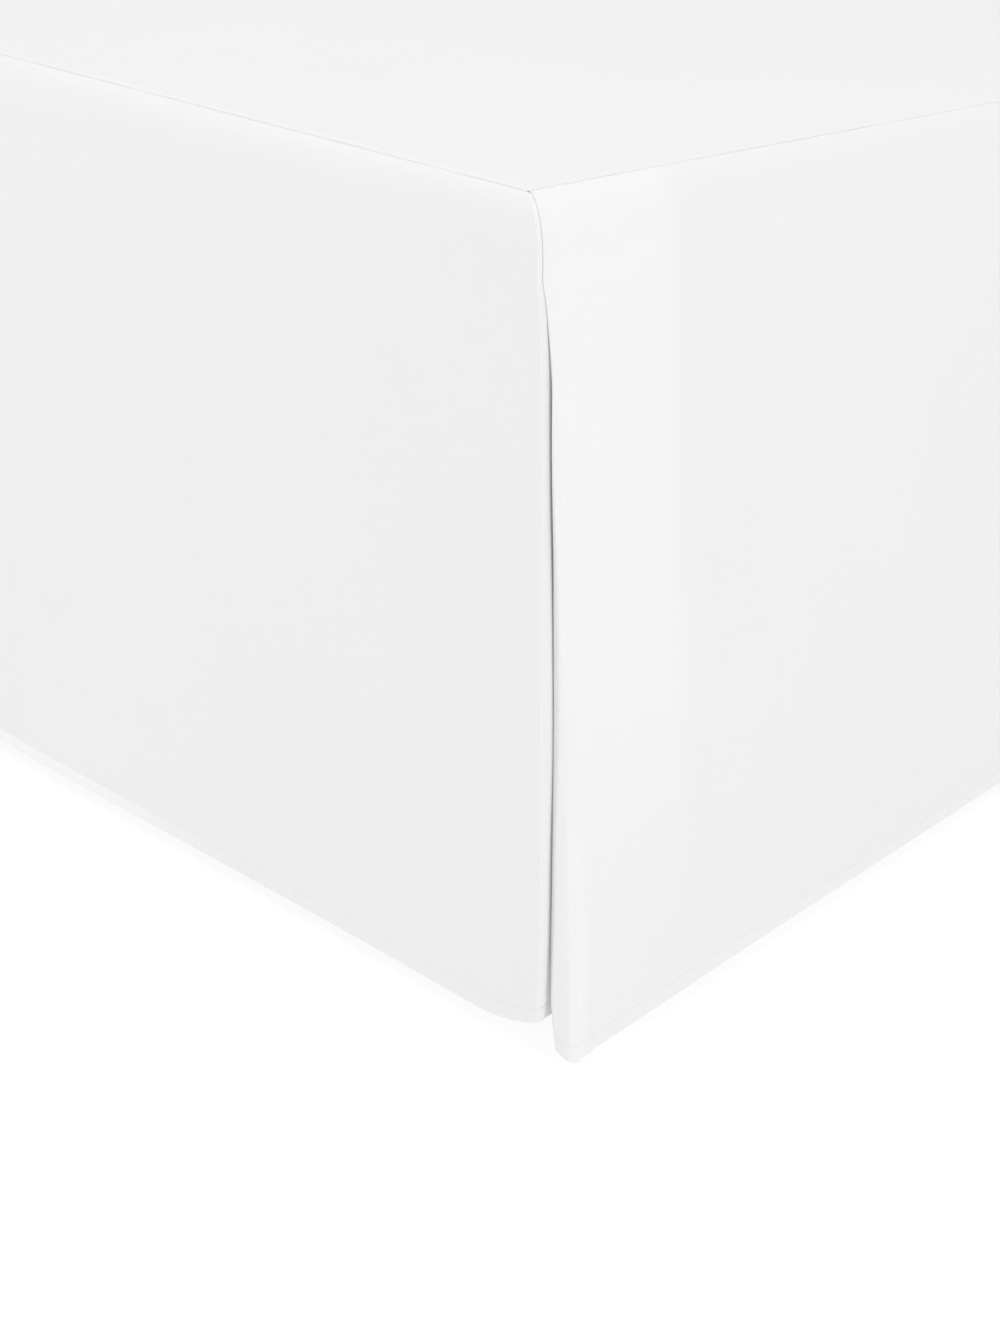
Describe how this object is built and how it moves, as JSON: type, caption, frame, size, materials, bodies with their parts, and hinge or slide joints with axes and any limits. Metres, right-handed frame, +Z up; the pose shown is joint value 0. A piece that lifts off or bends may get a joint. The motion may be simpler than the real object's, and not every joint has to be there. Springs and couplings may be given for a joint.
{
  "type": "bed skirt on a bed base",
  "caption": "White bed skirt with a flat deck, tailored drops and split foot corners, on a plain upholstered bed base with round tapered legs.",
  "frame": {"origin": "on the floor, under the middle of the base and skirt together", "axes": "+X across the bed, +Y along it towards the head, +Z up; the foot panel faces -Y"},
  "size_m": [1.6406, 2.0542, 0.3868],
  "materials": {
    "skirt_cloth": "matt brushed white plain weave with a fine soft surface",
    "base_fabric": "matt grey-beige plain weave, stretched over the foundation",
    "leg_wood": "dark stained wood with a satin finish"
  },
  "bodies": {
    "root": {"deck": "skirt_cloth", "foot_drop": "skirt_cloth", "side_drop_right": "skirt_cloth", "side_drop_left": "skirt_cloth", "base": "base_fabric", "leg_foot_left": "leg_wood", "leg_foot_right": "leg_wood", "leg_middle_left": "leg_wood", "leg_middle_right": "leg_wood", "leg_head_left": "leg_wood", "leg_head_right": "leg_wood"}
  },
  "joints": []
}
